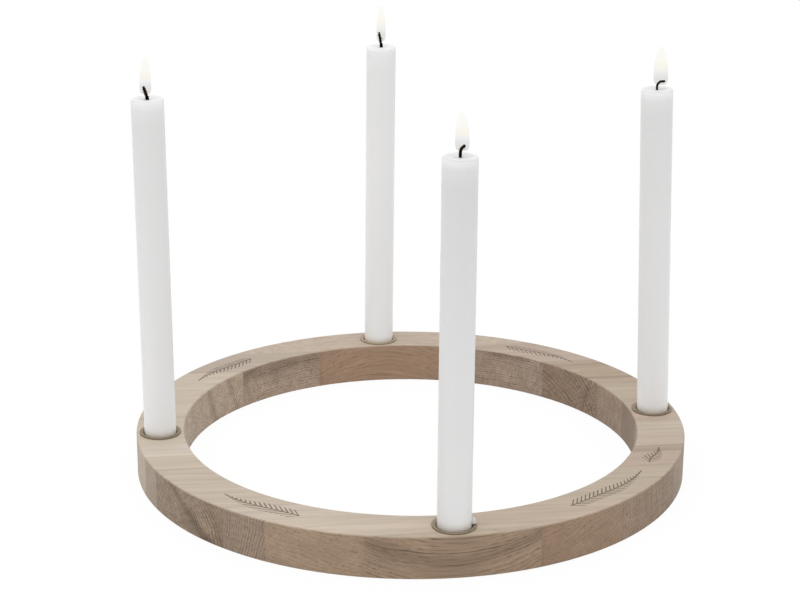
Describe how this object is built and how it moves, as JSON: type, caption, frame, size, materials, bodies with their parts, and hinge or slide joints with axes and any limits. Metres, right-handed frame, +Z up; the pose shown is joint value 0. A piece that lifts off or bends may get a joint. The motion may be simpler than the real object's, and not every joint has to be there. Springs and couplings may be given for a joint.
{
  "type": "advent candle holder",
  "caption": "Flat oak ring glued up from staves, with metal sockets that hold slim white stick candles upright around an open centre.",
  "frame": {"origin": "centre of the ring on the surface that it lies on", "axes": "+Z up along the candles, +X along the grain of the wood towards the right candle, -Y towards the front candle"},
  "size_m": [0.35, 0.35, 0.2494],
  "materials": {
    "oak": "sanded, oiled matt",
    "socket_brass": "dull, aged",
    "candle_wax": "smooth satin wax",
    "wick_cotton": "charred cotton"
  },
  "bodies": {
    "ring": {"front_edge_stave": "oak", "front_stave": "oak", "left_stave_1": "oak", "left_stave_2": "oak", "left_stave_3": "oak", "left_stave_4": "oak", "left_stave_5": "oak", "left_stave_6": "oak", "left_stave_7": "oak", "left_stave_8": "oak", "right_stave_1": "oak", "right_stave_2": "oak", "right_stave_3": "oak", "right_stave_4": "oak", "right_stave_5": "oak", "right_stave_6": "oak", "right_stave_7": "oak", "right_stave_8": "oak", "right_stave_9": "oak", "back_stave": "oak", "socket_left": "socket_brass", "socket_back": "socket_brass", "socket_front": "socket_brass", "socket_right": "socket_brass"},
    "left_candle": {"candle_left": "candle_wax", "wick_left": "wick_cotton"},
    "back_candle": {"candle_back": "candle_wax", "wick_back": "wick_cotton"},
    "front_candle": {"candle_front": "candle_wax", "wick_front": "wick_cotton"},
    "right_candle": {"candle_right": "candle_wax", "wick_right": "wick_cotton"}
  },
  "joints": [
    {"name": "left_candle_lift", "type": "slide", "parent": "ring", "child": "left_candle", "axis": [-0.0058, 0, 1], "range_m": [0, 0.024]},
    {"name": "back_candle_lift", "type": "slide", "parent": "ring", "child": "back_candle", "axis": [0.0052, 0, 1], "range_m": [0, 0.024]},
    {"name": "front_candle_lift", "type": "slide", "parent": "ring", "child": "front_candle", "axis": [0, 0, 1], "range_m": [0, 0.024]},
    {"name": "right_candle_lift", "type": "slide", "parent": "ring", "child": "right_candle", "axis": [-0.0332, 0, 0.9995], "range_m": [0, 0.024]}
  ]
}
